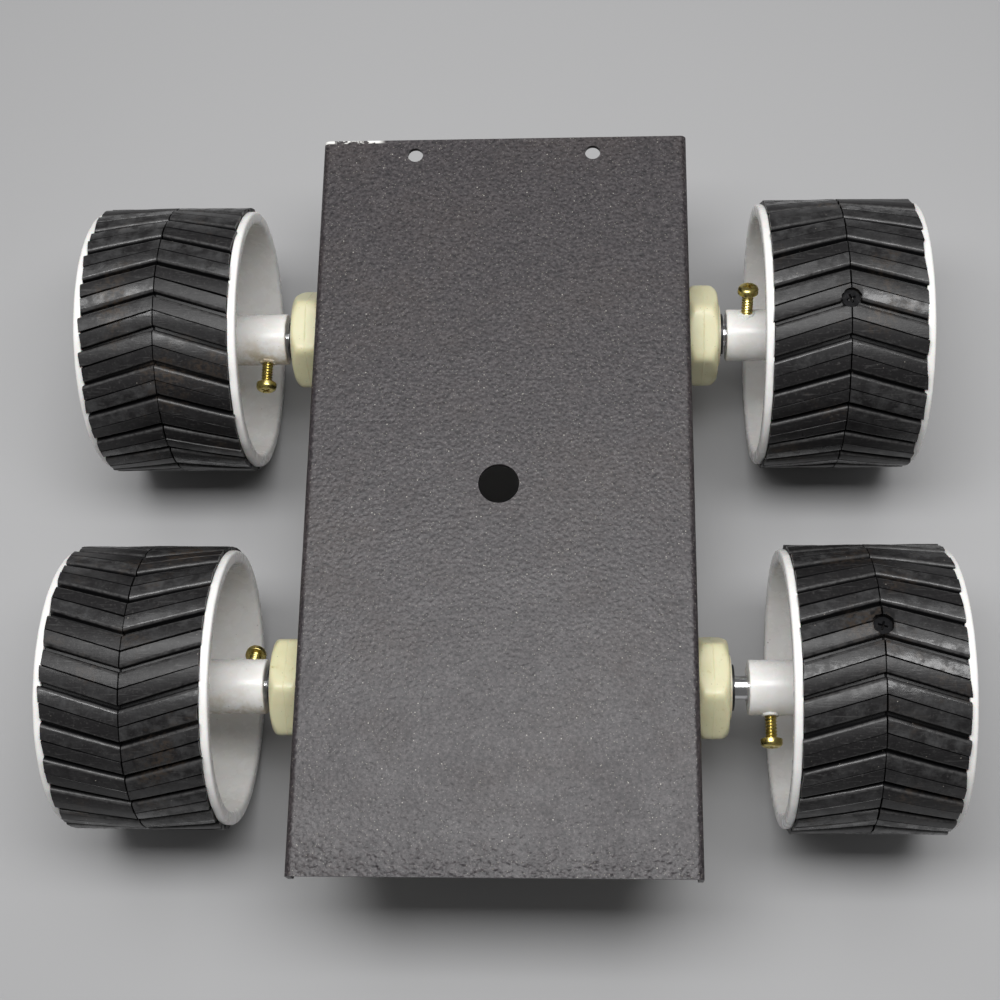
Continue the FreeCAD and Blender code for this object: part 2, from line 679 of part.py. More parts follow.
def hub(name, corner, wheel_frame):
    """Long hub with a blind bore from the chassis side and a hole for the hub screw."""
    post = cylinder("hub_radius", "hub_overhang + web_start + web_thickness + outer_boss", "-hub_overhang")
    bore = cylinder("shaft_radius + thread_gap", "hub_bore_depth", "-hub_overhang")
    screw_station = dim("hub_screw_inset") - dim("hub_overhang")
    screw_hole = cylinder("hub_screw_radius + thread_gap", "hub_radius",
                          radial(0, corner["hub_screw"], screw_station))
    node(name + "_hub", cut(post, bore, screw_hole), wheel_frame)


def tread(name, corner, wheel_frame):
    """Rubber strip between the lips; chevron grooves leave its lugs."""
    width = "rim_width - 2 * lip_width"
    band = tube("tread_radius", "rim_seat", width, "lip_width")
    slope = dim("chevron_slope")
    half_width = dim("rim_width") / 2 - dim("lip_width")
    sweep = math.degrees(half_width * math.tan(math.radians(slope)) / dim("tread_radius"))
    grooves = []
    for lug in range(int(dim("lug_count"))):
        apex = corner["groove"] + 360.0 * lug / dim("lug_count")
        for direction in (-1, 1):
            middle_angle = apex - corner["apex"] * sweep / 2
            station = dim("rim_width") / 2 + direction * half_width / 2
            floor = dim("tread_radius") - dim("groove_depth")
            seat = radial(floor, middle_angle, station)
            lean = FreeCAD.Rotation(Vector(1, 0, 0), corner["apex"] * direction * slope)
            upright = FreeCAD.Rotation(polar(0, 0, 1), middle_angle)
            arm = FreeCAD.Placement(seat.Base, upright * lean)
            shift = FreeCAD.Placement(Vector(0, -dim("groove_width") / 2, -half_width * 0.6), FreeCAD.Rotation())
            grooves.append(primitive("Box", arm * shift, Length="groove_depth + 2", Width="groove_width",
                                     Height=f"1.2 * ({width}) / 2"))
    screw_hole = cylinder("tread_screw_head + 0.1", "tread_radius - rim_seat + 1",
                          radial(dim("rim_seat") - 0.5, corner["tread_screw"], dim("rim_width") / 2))
    node(name + "_tread", cut(band, *grooves, screw_hole), wheel_frame)


def tread_screw(name, corner, wheel_frame):
    """Countersunk screw through the seam of the tread into the rim."""
    top = dim("tread_radius") - dim("tread_screw_sink")
    head = cone("tread_screw_radius", "tread_screw_head", "tread_screw_head_depth",
                radial(top - dim("tread_screw_head_depth"), corner["tread_screw"], dim("rim_width") / 2))
    shank = cylinder("tread_screw_radius", "tread_screw_length - tread_screw_head_depth",
                     radial(top - dim("tread_screw_length"), corner["tread_screw"], dim("rim_width") / 2))
    node(name + "_tread_screw", fuse(head, shank), wheel_frame)


def hub_screw(name, corner, wheel_frame):
    """Pan-head screw through the hub wall onto the shaft."""
    station = dim("hub_screw_inset") - dim("hub_overhang")
    head_start = dim("hub_radius") + dim("hub_screw_exposed")
    shank = cylinder("hub_screw_radius", "hub_radius + hub_screw_exposed - shaft_radius",
                     radial(dim("shaft_radius"), corner["hub_screw"], station))
    head = cylinder("hub_head_radius", "hub_head_height", radial(head_start, corner["hub_screw"], station))
    node(name + "_hub_screw", fuse(shank, head), wheel_frame)


# ---- assembly -------------------------------------------------------------------------------------

build_chassis()
for name, corner in CORNERS.items():
    build_gears(name, corner)
    rotor(name, corner)
    output_shaft(name, corner)
    shaft_clip(name, corner)
    wheel_frame = axle_frame(corner, dim(name + "_seat"))
    rim(name, corner, wheel_frame)
    wheel_disc(name, corner, wheel_frame)
    hub(name, corner, wheel_frame)
    tread(name, corner, wheel_frame)
    tread_screw(name, corner, wheel_frame)
    hub_screw(name, corner, wheel_frame)

corners = list(CORNERS.values())
node("gearbox_housings", group(gearbox_housing(corner) for corner in corners))
node("gearbox_covers", group(gearbox_cover(corner) for corner in corners))
node("motor_cans", group(motor_can(corner) for corner in corners))
node("motor_nuts", group(motor_nut(corner) for corner in corners))
node("motor_end_caps", group(end_cap(corner) for corner in corners))
node("motor_terminals", group(tag for corner in corners for tag in terminals(corner)))
node("motor_magnets", group(magnet for corner in corners for magnet in magnets(corner)))
node("gearbox_screws", group(screw for corner in corners for screw in gearbox_screws(corner)))
node("gear_pins", group(pin for corner in corners for pin in gear_pins(corner)))
doc.recompute()

for thing in doc.Objects:
    if "Invalid" in thing.State or "Error" in thing.State:
        raise RuntimeError(f"{thing.Name} ({thing.Label}) failed: {thing.State}")
for label, thing in nodes.items():
    if thing.Shape.isNull() or not thing.Shape.isValid():
        raise RuntimeError(label + " has no valid shape")

os.makedirs("parts", exist_ok=True)
for label, thing in nodes.items():
    thing.Shape.exportStep(f"parts/{label}.step")
print(len(nodes), "sub-parts written")
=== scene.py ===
"""Looks of the four-wheel robot chassis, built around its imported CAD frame."""

import json
import math
import random

import bmesh
import bpy
from mathutils import Matrix, Vector, noise


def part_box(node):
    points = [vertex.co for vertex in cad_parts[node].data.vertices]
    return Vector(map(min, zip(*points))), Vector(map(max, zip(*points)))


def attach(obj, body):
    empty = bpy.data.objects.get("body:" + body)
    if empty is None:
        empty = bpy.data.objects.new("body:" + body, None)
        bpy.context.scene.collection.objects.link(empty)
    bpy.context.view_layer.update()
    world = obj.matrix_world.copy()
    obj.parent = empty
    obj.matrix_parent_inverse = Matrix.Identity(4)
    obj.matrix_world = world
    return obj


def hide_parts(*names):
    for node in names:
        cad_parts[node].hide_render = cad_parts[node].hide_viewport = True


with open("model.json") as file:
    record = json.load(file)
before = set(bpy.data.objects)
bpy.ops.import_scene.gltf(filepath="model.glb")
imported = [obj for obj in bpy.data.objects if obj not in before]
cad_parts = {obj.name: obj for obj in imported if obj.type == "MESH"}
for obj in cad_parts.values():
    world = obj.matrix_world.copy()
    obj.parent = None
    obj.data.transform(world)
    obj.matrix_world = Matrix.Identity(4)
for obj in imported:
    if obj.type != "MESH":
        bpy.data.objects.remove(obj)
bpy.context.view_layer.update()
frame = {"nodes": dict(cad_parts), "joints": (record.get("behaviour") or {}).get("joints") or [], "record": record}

MM = 0.001

# side is +1 on the right and -1 on the left. Each wheel is built in its axle frame: local X points to
# the rear on the right and to the front on the left, local Y up and local Z outwards. apex is the way
# that the chevrons point round the axle. groove is the angle in degrees at which one groove meets the
# seam, and nut the angle in degrees from local Y to a corner of the hexagon. seed feeds all that is
# random at a corner.
CORNERS = {
    "rear_left": {"side": -1, "apex": 1, "groove": 85.3, "nut": 23, "seed": 11},
    "front_left": {"side": -1, "apex": -1, "groove": 83.5, "nut": 46, "seed": 23},
    "rear_right": {"side": 1, "apex": -1, "groove": 86.5, "nut": -52, "seed": 37},
    "front_right": {"side": 1, "apex": -1, "groove": 83.1, "nut": -21, "seed": 41},
}

# Lengths are in millimetres, as in the CAD.
RIM_WIDTH = 40.6
RIM_MIDDLE = RIM_WIDTH / 2
RIM_SEAT = 32.2
LIP_RADIUS = 33.7
LIP_WIDTH = 2.0
RIM_INSIDE = 30.0
RIM_TAPER = 0.4
WEB_START = 28.2
WEB_END = 31.2
HUB_RADIUS = 6.75
HUB_OVERHANG = 7.3
HUB_BORE = 3.02
BORE_END = 20.7
BOSS_FACE = 35.2
# Rings that divide the long straight runs of the hub and the web.
HUB_DIVISION = 8.0
WEB_DIVISION = 18.0

TREAD_RADIUS = 35.0
TREAD_PLAY = 0.05
CARCASS_RADIUS = 32.9
LUG_ROOT_RADIUS = CARCASS_RADIUS - 0.3
LIP_CLEARANCE = 33.82
LUG_COUNT = 25
LUG_PITCH = 2 * math.pi / LUG_COUNT
GROOVE_WIDTH = 1.0
TREAD_HALF = RIM_MIDDLE - LIP_WIDTH
CHEVRON_SLOPE = math.radians(17.0)
CHEVRON_SWEEP = TREAD_HALF * math.tan(CHEVRON_SLOPE) / TREAD_RADIUS
SCREW_HOLE_RADIUS = 2.45

NUT_RADIUS = 13.55
NUT_HEIGHT = 7.8
NUT_FACE = 11.6
NUT_CHAMFER = 2.1
NUT_BORE = 7.92
NUT_BORE_CHAMFER = 0.5
NUT_STATION = 47.5
# Heights of the rings of one half of a nut, closer together at the chamfer and the parting line.
NUT_LEVELS = (0.0, 0.12, 0.3, 0.6, 0.9, 1.2, 1.5, 1.8, 2.3, 2.9, 3.45, 3.7, 3.82)
NUT_SEGMENTS = 216

HUB_SCREW_STATION = -2.0
HUB_SCREW_RADIUS = 1.5
HUB_SCREW_TOP = HUB_RADIUS + 5.8
HUB_HEAD_RADIUS = 2.65
HUB_HEAD_HEIGHT = 2.1
THREAD_PITCH = 0.8
THREAD_DEPTH = 0.32
THREAD_RUNOUT = 0.5
THREAD_SEGMENTS = 40
RINGS_PER_PITCH = 8
TREAD_SCREW_TIP = 28.0
TREAD_SCREW_TOP = 33.8
TREAD_SCREW_RADIUS = 1.2
TREAD_HEAD_RADIUS = 2.2
TREAD_HEAD_HEIGHT = 1.4

# The stage is in metres. Each lamp is a name, a place, a width, a depth and a power in watts.
LAMPS = (("strip", (0, 0, 0.55), 0.55, 0.16, 2.5),
         ("overhead", (0.0, 0.45, 1.5), 1.3, 1.0, 8.5))
WORLD_STRENGTH = 0.14
FLOOR_HALF = 3.0
FLOOR_DROP = 0.0002
CAMERA_PLACE = (0.0227111, -0.1341146, 0.4295469)
CAMERA_RIGHT = Vector((0.99841, 0.01427, -0.05461))
CAMERA_UP = Vector((0.00426, 0.94569, 0.32505))
CAMERA_BACK = Vector((0.05628, -0.32477, 0.94412))
CAMERA_LENS = 58.9


# ---- material nodes -------------------------------------------------------------------------------


class Look:
    """A procedural material that is put together one texture at a time."""

    def __init__(self, name, color, roughness, metallic=0.0, **sockets):
        self.material = bpy.data.materials.new(name)
        self.material.use_nodes = True
        self.tree = self.material.node_tree
        self.shader = self.tree.nodes["Principled BSDF"]
        self.place = self.tree.nodes.new("ShaderNodeTexCoord").outputs["Object"]
        self.color = None
        self.height = None
        self.set("Base Color", (*color, 1.0))
        self.set("Roughness", roughness)
        self.set("Metallic", metallic)
        for key, value in sockets.items():
            self.set(key.replace("_", " "), value)
        self.base = (*color, 1.0)

    def set(self, socket, value):
        """A value that is the same all over the surface."""
        self.shader.inputs[socket].default_value = value

    def link(self, source, target):
        self.tree.links.new(source, target)

    def spread(self, stretch):
        """Texture coordinates, stretched along one or more axes."""
        if stretch is None:
            return self.place
        mapping = self.tree.nodes.new("ShaderNodeMapping")
        mapping.inputs["Scale"].default_value = stretch
        self.link(self.place, mapping.inputs["Vector"])
        return mapping.outputs["Vector"]

    def clouds(self, scale, detail=3.0, rough=0.55, stretch=None):
        """Noise, with scale in features per metre."""
        texture = self.tree.nodes.new("ShaderNodeTexNoise")
        texture.inputs["Scale"].default_value = scale
        texture.inputs["Detail"].default_value = detail
        texture.inputs["Roughness"].default_value = rough
        self.link(self.spread(stretch), texture.inputs["Vector"])
        return texture.outputs["Fac"]

    def cells(self, scale):
        """Distance to the nearest of scattered points."""
        texture = self.tree.nodes.new("ShaderNodeTexVoronoi")
        texture.inputs["Scale"].default_value = scale
        self.link(self.place, texture.inputs["Vector"])
        return texture.outputs["Distance"]

    def rescale(self, source, low, high, to_low=0.0, to_high=1.0):
        """Clamped map of source from low..high to to_low..to_high."""
        node = self.tree.nodes.new("ShaderNodeMapRange")
        self.link(source, node.inputs["Value"])
        node.inputs["From Min"].default_value = low
        node.inputs["From Max"].default_value = high
        node.inputs["To Min"].default_value = to_low
        node.inputs["To Max"].default_value = to_high
        return node.outputs["Result"]

    def times(self, first, second):
        """Product of two sources, for a mask within a mask."""
        node = self.tree.nodes.new("ShaderNodeMath")
        node.operation = "MULTIPLY"
        self.link(first, node.inputs[0])
        self.link(second, node.inputs[1])
        return node.outputs["Value"]

    def attribute(self, name):
        """A value that the mesh holds at each vertex."""
        node = self.tree.nodes.new("ShaderNodeAttribute")
        node.attribute_name = name
        return node.outputs["Fac"]

    def along(self, axis, low, high):
        """0 below low and 1 above high along one axis, in metres."""
        split = self.tree.nodes.new("ShaderNodeSeparateXYZ")
        self.link(self.place, split.inputs["Vector"])
        return self.rescale(split.outputs[axis], low, high)

    def paint(self, mask, color):
        """Lays color over what is there wherever mask is 1."""
        mix = self.tree.nodes.new("ShaderNodeMix")
        mix.data_type = "RGBA"
        self.link(mask, mix.inputs[0])
        if self.color is None:
            mix.inputs[6].default_value = self.base
        else:
            self.link(self.color, mix.inputs[6])
        mix.inputs[7].default_value = (*color, 1.0)
        self.color = mix.outputs[2]
        self.link(self.color, self.shader.inputs["Base Color"])

    def gloss(self, source, low, high):
        """Roughness that varies from low to high with source."""
        self.link(self.rescale(source, 0.3, 0.7, low, high), self.shader.inputs["Roughness"])

    def relief(self, source, strength, depth_mm):
        """Bump, stacked on the bumps before it."""
        bump = self.tree.nodes.new("ShaderNodeBump")
        bump.inputs["Strength"].default_value = strength
        bump.inputs["Distance"].default_value = depth_mm * MM
        self.link(source, bump.inputs["Height"])
        if self.height is not None:
            self.link(self.height, bump.inputs["Normal"])
        self.height = bump.outputs["Normal"]
        self.link(self.height, self.shader.inputs["Normal"])


def powder_coat():
    """Wrinkled powder coat, coarser at the front, with painted glints on its grains and a chipped rear edge."""
    look = Look("powder_coat", (0.034, 0.029, 0.032), 0.46, Specular_IOR_Level=0.38)
    low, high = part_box("chassis")
    look.paint(look.rescale(look.clouds(45, 3.0), 0.48, 0.80), (0.044, 0.035, 0.034))
    grain = look.clouds(1500, 2.0)
    look.paint(look.rescale(grain, 0.50, 0.72), (0.074, 0.065, 0.068))
    look.paint(look.rescale(grain, 0.47, 0.34), (0.016, 0.014, 0.016))
    # Painted highlights: small light specks that stand for glints of light on the grains of the coat.
    look.paint(look.rescale(look.cells(1100), 0.18, 0.10), (0.13, 0.12, 0.12))
    look.paint(look.rescale(look.cells(900), 0.14, 0.08), (0.20, 0.19, 0.16))
    sparse = look.rescale(look.clouds(60), 0.46, 0.56)
    look.paint(look.times(look.rescale(look.cells(470), 0.08, 0.05), sparse), (0.44, 0.42, 0.38))
    rear_edge = look.along("Y", high.y - 0.9 * MM, high.y - 0.6 * MM)
    left_part = look.along("X", low.x + 16.3 * MM, low.x + 14.5 * MM)
    top_part = look.along("Z", high.z - 1.6 * MM, high.z - 1.2 * MM)
    chips = look.times(look.rescale(look.clouds(520, 3.0), 0.44, 0.50), top_part)
    look.paint(look.times(look.times(rear_edge, left_part), chips), (0.86, 0.85, 0.82))
    look.gloss(look.clouds(90, 3.0), 0.38, 0.45)
    look.relief(look.clouds(1050, 2.0, 0.4), 1.0, 0.17)
    front_part = look.along("Y", low.y + 12 * MM, low.y + 2 * MM)
    look.relief(look.times(look.clouds(640, 1.0), front_part), 1.0, 0.36)
    look.relief(look.clouds(3200, 2.0), 0.30, 0.03)
    return look.material


def nylon(name, color, shade, stain):
    """Moulded nylon, slightly translucent, with a mottled shade, stains and dark specks."""
    look = Look(name, color, 0.38, Subsurface_Weight=0.18, Subsurface_Scale=0.0015)
    look.paint(look.rescale(look.clouds(160, 4.0), 0.45, 0.80), shade)
    look.paint(look.rescale(look.clouds(420, 5.0, 0.7), 0.60, 0.75), stain)
    look.paint(look.rescale(look.cells(700), 0.08, 0.04), tuple(0.35 * part for part in stain))
    look.gloss(look.clouds(500, 3.0), 0.30, 0.48)
    look.relief(look.clouds(450, 3.0), 0.20, 0.10)
    look.relief(look.clouds(4000, 2.0), 0.12, 0.02)
    return look.material


def rim_plastic():
    """Glossy white plastic, with grime and specks where the mesh says that it is dirty."""
    look = Look("rim_plastic", (0.89, 0.88, 0.865), 0.20, Subsurface_Weight=0.10, Subsurface_Scale=0.001)
    look.paint(look.rescale(look.clouds(70, 3.0), 0.50, 0.90), (0.86, 0.85, 0.83))
    dirt = look.attribute("dirt")
    grime = look.times(dirt, look.rescale(look.clouds(240, 4.0, 0.6), 0.38, 0.64))
    look.paint(grime, (0.50, 0.41, 0.26))
    sparse = look.rescale(look.clouds(150), 0.52, 0.60)
    specks = look.times(look.rescale(look.cells(380), 0.10, 0.06), sparse)
    look.paint(look.times(specks, look.rescale(dirt, 0.0, 0.6, 0.35, 1.0)), (0.07, 0.06, 0.05))
    look.gloss(look.clouds(260, 4.0), 0.18, 0.34)
    look.relief(look.clouds(240, 3.0), 0.14, 0.14)
    return look.material


def tread_rubber():
    """Dusty black rubber: rubbed grey on the lug tops, near-black painted shade in the grooves and fine lines, a
    painted highlight along the bevelled lug edges, and a lighter, shinier colour on the bands with sheen that is
    partly chalk bloom and partly painted sheen.
    """
    look = Look("tread_rubber", (0.003, 0.003, 0.0035), 0.52, Specular_IOR_Level=0.37)
    wear_shade_highlight = look.attribute("wear_shade_highlight")
    sheen = look.attribute("sheen")
    # Lug tops rubbed grey; where the value stays low, the near-black base colour is painted shade in the grooves,
    # on the lug walls and in the fine lines.
    look.paint(look.rescale(wear_shade_highlight, 0.3, 0.9), (0.0110, 0.0104, 0.0110))
    # The lighter colour on the glossier bands is partly a chalk bloom on the rubber and partly a painted sheen.
    mottle = look.rescale(look.clouds(330, 5.0, 0.65), 0.40, 0.66)
    sheen_mottle = look.times(mottle, look.rescale(sheen, 0.40, 0.95))
    chalk_and_painted_sheen = look.times(look.rescale(wear_shade_highlight, 0.5, 1.0), sheen_mottle)
    look.paint(chalk_and_painted_sheen, (0.052, 0.052, 0.053))
    scuffs = look.rescale(look.clouds(1500, 4.0, 0.7), 0.56, 0.74)
    look.paint(look.times(look.rescale(wear_shade_highlight, 0.4, 0.8), scuffs), (0.055, 0.053, 0.052))
    scratches = look.rescale(look.clouds(2400, 3.0, 0.6, (0.08, 1.0, 1.0)), 0.60, 0.72)
    look.paint(look.times(look.rescale(wear_shade_highlight, 0.7, 1.0), scratches), (0.050, 0.049, 0.049))
    # Painted highlight: a lighter colour along the bevelled lug edges, where they catch the light.
    painted_edge_highlight = look.times(look.rescale(wear_shade_highlight, 1.05, 1.5), look.rescale(look.clouds(900, 3.0), 0.30, 0.60))
    look.paint(painted_edge_highlight, (0.060, 0.059, 0.059))
    patches = look.rescale(look.clouds(60, 4.0, 0.6), 0.56, 0.70)
    soil = look.times(patches, look.rescale(look.clouds(900, 3.0), 0.42, 0.62))
    look.paint(soil, (0.042, 0.031, 0.023))
    sparse = look.rescale(look.clouds(140), 0.54, 0.62)
    look.paint(look.times(look.rescale(look.cells(520), 0.075, 0.04), sparse), (0.36, 0.33, 0.29))
    look.link(look.rescale(chalk_and_painted_sheen, 0.0, 0.55, 0.42, 0.16), look.shader.inputs["Roughness"])
    look.relief(look.clouds(700, 4.0, 0.6), 0.32, 0.12)
    look.relief(look.clouds(2000, 3.0, 0.6, (0.10, 1.0, 1.0)), 0.40, 0.05)
    look.relief(look.clouds(2600, 3.0), 0.35, 0.03)
    return look.material


def metal(name, color, tint, roughness, grain=(1.0, 1.0, 1.0), lines=0.2):
    """Bare or plated metal with faint stains and fine marks; grain stretches the marks."""
    look = Look(name, color, roughness, 1.0)
    look.paint(look.rescale(look.clouds(220, 4.0), 0.50, 0.85), tint)
    look.gloss(look.clouds(900, 3.0, 0.6, grain), roughness * 0.75, roughness * 1.4)
    look.relief(look.clouds(2400, 2.0, 0.5, grain), lines, 0.02)
    return look.material


def dark_finish(name, color, worn, roughness=0.42, uneven=0.2, specular=0.5):
    """Black oxide or black plastic, rubbed lighter in places."""
    look = Look(name, color, roughness, 0.35, Specular_IOR_Level=specular)
    look.paint(look.rescale(look.clouds(900, 4.0), 0.55, 0.80), worn)
    look.gloss(look.clouds(600, 3.0), roughness * 0.75, roughness * 1.3)
    look.relief(look.clouds(1800, 3.0), uneven, 0.03 + 0.12 * uneven)
    return look.material


# One finish for each material slot of the record.
LOOKS = {
    "powder_coat": powder_coat(),
    "rim_plastic": rim_plastic(),
    "tread_rubber": tread_rubber(),
}
for finish, slot_name, *settings in (
        (nylon, "nut_nylon", (0.66, 0.63, 0.41), (0.59, 0.56, 0.33), (0.50, 0.45, 0.22)),
        (nylon, "gearbox_nylon", (0.72, 0.66, 0.50), (0.66, 0.59, 0.42), (0.55, 0.47, 0.32)),
        (nylon, "gear_nylon", (0.85, 0.85, 0.82), (0.80, 0.79, 0.74), (0.70, 0.67, 0.58)),
        (nylon, "cap_plastic", (0.85, 0.84, 0.80), (0.79, 0.77, 0.71), (0.68, 0.65, 0.56)),
        (metal, "gear_steel", (0.55, 0.55, 0.55), (0.42, 0.40, 0.37), 0.40),
        (metal, "shaft_steel", (0.74, 0.74, 0.75), (0.62, 0.61, 0.60), 0.14, (6.0, 1.0, 1.0), 0.12),
        (metal, "brass_screw", (0.72, 0.60, 0.22), (0.42, 0.36, 0.12), 0.27),
        (metal, "zinc_screw", (0.70, 0.70, 0.72), (0.60, 0.61, 0.66), 0.28),
        (metal, "pin_steel", (0.65, 0.65, 0.65), (0.55, 0.55, 0.54), 0.22),
        (metal, "can_steel", (0.62, 0.62, 0.63), (0.52, 0.53, 0.56), 0.30, (0.3, 1.0, 1.0)),
        (metal, "rotor_steel", (0.45, 0.36, 0.28), (0.60, 0.33, 0.16), 0.42),
        (metal, "terminal_brass", (0.75, 0.62, 0.32), (0.70, 0.68, 0.60), 0.32),
        (dark_finish, "clip_black", (0.022, 0.022, 0.024), (0.07, 0.068, 0.065)),
        (dark_finish, "black_screw", (0.008, 0.008, 0.009), (0.022, 0.021, 0.020), 0.60, 0.6, 0.12),
        (dark_finish, "magnet", (0.06, 0.06, 0.065), (0.11, 0.11, 0.11)),
):
    LOOKS[slot_name] = finish(slot_name, *settings)


# ---- mesh building --------------------------------------------------------------------------------


def polar(radius, angle, height):
    """A point in cylinder coordinates about local Z."""
    return Vector((radius * math.cos(angle), radius * math.sin(angle), height))


def rounded(points, steps=4):
    """A profile of (radius, height, fillet) corners as plain points, with each corner rounded."""
    result = []
    for number, (radius, height, fillet) in enumerate(points):
        here = Vector((radius, height))
        if fillet == 0:
            result.append(here)
            continue
        before = (Vector(points[number - 1][:2]) - here).normalized()
        after = (Vector(points[(number + 1) % len(points)][:2]) - here).normalized()
        half = before.angle(after) / 2
        centre = here + (before + after).normalized() * fillet / math.sin(half)
        start = here + before * fillet / math.tan(half) - centre
        end = here + after * fillet / math.tan(half) - centre
        first = math.atan2(start.y, start.x)
        sweep = (math.atan2(end.y, end.x) - first + math.pi) % (2 * math.pi) - math.pi
        for step in range(steps + 1):
            turn = first + sweep * step / steps
            result.append(centre + Vector((math.cos(turn), math.sin(turn))) * fillet)
    return result


def circle(radius, height, segments, start=0.0):
    """Evenly spaced points round local Z."""
    return [polar(radius, start + 2 * math.pi * number / segments, height)
            for number in range(segments)]


def lathe(bm, profile, segments, warp=None):
    """Revolves a closed profile about local Z; points on the axis become one vertex."""
    rings = []
    for radius, height in profile:
        if radius == 0:
            rings.append([bm.verts.new((0, 0, height))])
            continue
        points = circle(radius, height, segments)
        rings.append([bm.verts.new(warp(point) if warp else point) for point in points])
    for first, second in zip(rings, rings[1:] + rings[:1]):
        if len(first) == 1 and len(second) == 1:
            continue
        for number in range(segments):
            after = (number + 1) % segments
            if len(first) == 1:
                corners = (first[0], second[number], second[after])
            elif len(second) == 1:
                corners = (first[number], second[0], first[after])
            else:
                corners = (first[number], second[number], second[after], first[after])
            bm.faces.new(corners)


def grid_shell(bm, rows):
    """Closed shell through rows of points, each a closed loop, with a face over each end."""
    loops = [[bm.verts.new(point) for point in row] for row in rows]
    count = len(loops[0])
    for first, second in zip(loops, loops[1:]):
        for number in range(count):
            after = (number + 1) % count
            bm.faces.new((first[number], first[after], second[after], second[number]))
    bm.faces.new(loops[0])
    bm.faces.new(loops[-1])
    return loops


def join(bm, other):
    """Adds the mesh of other to bm, and frees other."""
    mesh = bpy.data.meshes.new("joined")
    other.to_mesh(mesh)
    other.free()
    bm.from_mesh(mesh)
    bpy.data.meshes.remove(mesh)


def cut(base, tool, tolerant=False):
    """Base with tool cut out of it, as a new bmesh. Both are freed; tolerant is for uneven meshes."""
    objects = []
    for bm in (base, tool):
        bmesh.ops.recalc_face_normals(bm, faces=bm.faces[:])
        mesh = bpy.data.meshes.new("operand")
        bm.to_mesh(mesh)
        bm.free()
        item = bpy.data.objects.new("operand", mesh)
        bpy.context.scene.collection.objects.link(item)
        objects.append(item)
    modifier = objects[0].modifiers.new("boolean", "BOOLEAN")
    modifier.object = objects[1]
    modifier.operation = "DIFFERENCE"
    modifier.solver = "EXACT"
    modifier.use_self = tolerant
    modifier.use_hole_tolerant = tolerant
    shown = objects[0].evaluated_get(bpy.context.evaluated_depsgraph_get())
    result = bmesh.new()
    result.from_mesh(shown.to_mesh())
    shown.to_mesh_clear()
    closest = 0.004
    bmesh.ops.remove_doubles(result, verts=result.verts[:], dist=closest)
    bmesh.ops.dissolve_degenerate(result, dist=closest, edges=result.edges[:])
    for item in objects:
        mesh = item.data
        bpy.data.objects.remove(item)
        bpy.data.meshes.remove(mesh)
    return result


def add_piece(name, bm, slot, body, nodes, sharp=32.0):
    """Turns a bmesh in the row frame into a finished piece that stands for CAD nodes.

    Edges that bend by more than sharp degrees stay crisp.
    """
    bmesh.ops.recalc_face_normals(bm, faces=bm.faces[:])
    bmesh.ops.triangulate(bm, faces=[face for face in bm.faces if len(face.verts) > 4])
    mesh = bpy.data.meshes.new(name)
    bm.to_mesh(mesh)
    bm.free()
    mesh.polygons.foreach_set("use_smooth", [True] * len(mesh.polygons))
    mesh.set_sharp_from_angle(angle=math.radians(sharp))
    mesh.materials.append(LOOKS[slot])
    piece = bpy.data.objects.new(name, mesh)
    bpy.context.scene.collection.objects.link(piece)
    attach(piece, body)
    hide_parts(*nodes)


def axle_matrix(corner, station):
    """Axle frame of a corner, in millimetres, to the row frame; station is the distance from X = 0."""
    side = corner["side"]
    along, up = corner["axle"]
    rows = ((0, 0, side, side * station * MM), (side, 0, 0, along), (0, 1, 0, up), (0, 0, 0, 1))
    return Matrix(rows) @ Matrix.Scale(MM, 4)


def radial_matrix(angle, station):
    """Frame in the axle frame whose Z points away from the axle at this angle."""
    outward = Vector((math.cos(angle), math.sin(angle), 0))
    across = Vector((-math.sin(angle), math.cos(angle), 0))
    columns = Matrix((across, Vector((0, 0, -1)), outward)).transposed()
    if columns.determinant() < 0:
        columns = Matrix((across, Vector((0, 0, 1)), outward)).transposed()
    return Matrix.Translation((0, 0, station)) @ columns.to_4x4()


def node_angle(corner, node):
    """Angle in the axle frame at which the middle of a CAD node stands."""
    low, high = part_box(node)
    middle = (low + high) / 2
    along, up = corner["axle"]
    return math.atan2(middle.z - up, corner["side"] * (middle.y - along))


def rough(point, size, amount, seed):
    """Smooth random value from -amount to amount, with features of about size millimetres."""
    return amount * noise.noise(point / size + Vector((seed, seed * 0.37, 0)))


# ---- wheels ---------------------------------------------------------------------------------------


def rim_profile():
    """Half section of drum, lips, web, hub and blind bore."""
    return rounded([
        (0, BORE_END, 0),
        (HUB_BORE, BORE_END, 0.2),
        (HUB_BORE, -HUB_OVERHANG, 0.25),
        (HUB_RADIUS, -HUB_OVERHANG, 0.45),
        (HUB_RADIUS, HUB_DIVISION, 0),
        (HUB_RADIUS, WEB_START, 1.2),
        (WEB_DIVISION, WEB_START, 0),
        (RIM_INSIDE, WEB_START, 1.5),
        (RIM_INSIDE + RIM_TAPER, 0, 1.0),
        (LIP_RADIUS, 0, 0.7),
        (LIP_RADIUS, LIP_WIDTH, 0.3),
        (RIM_SEAT, LIP_WIDTH, 0),
        (RIM_SEAT, RIM_WIDTH - LIP_WIDTH, 0),
        (LIP_RADIUS, RIM_WIDTH - LIP_WIDTH, 0.3),
        (LIP_RADIUS, RIM_WIDTH, 0.7),
        (RIM_INSIDE + RIM_TAPER, RIM_WIDTH, 1.0),
        (RIM_INSIDE, WEB_END, 1.5),
        (WEB_DIVISION, WEB_END, 0),
        (HUB_RADIUS, WEB_END, 1.0),
        (HUB_RADIUS, BOSS_FACE, 0.6),
        (0, BOSS_FACE, 0),
    ])


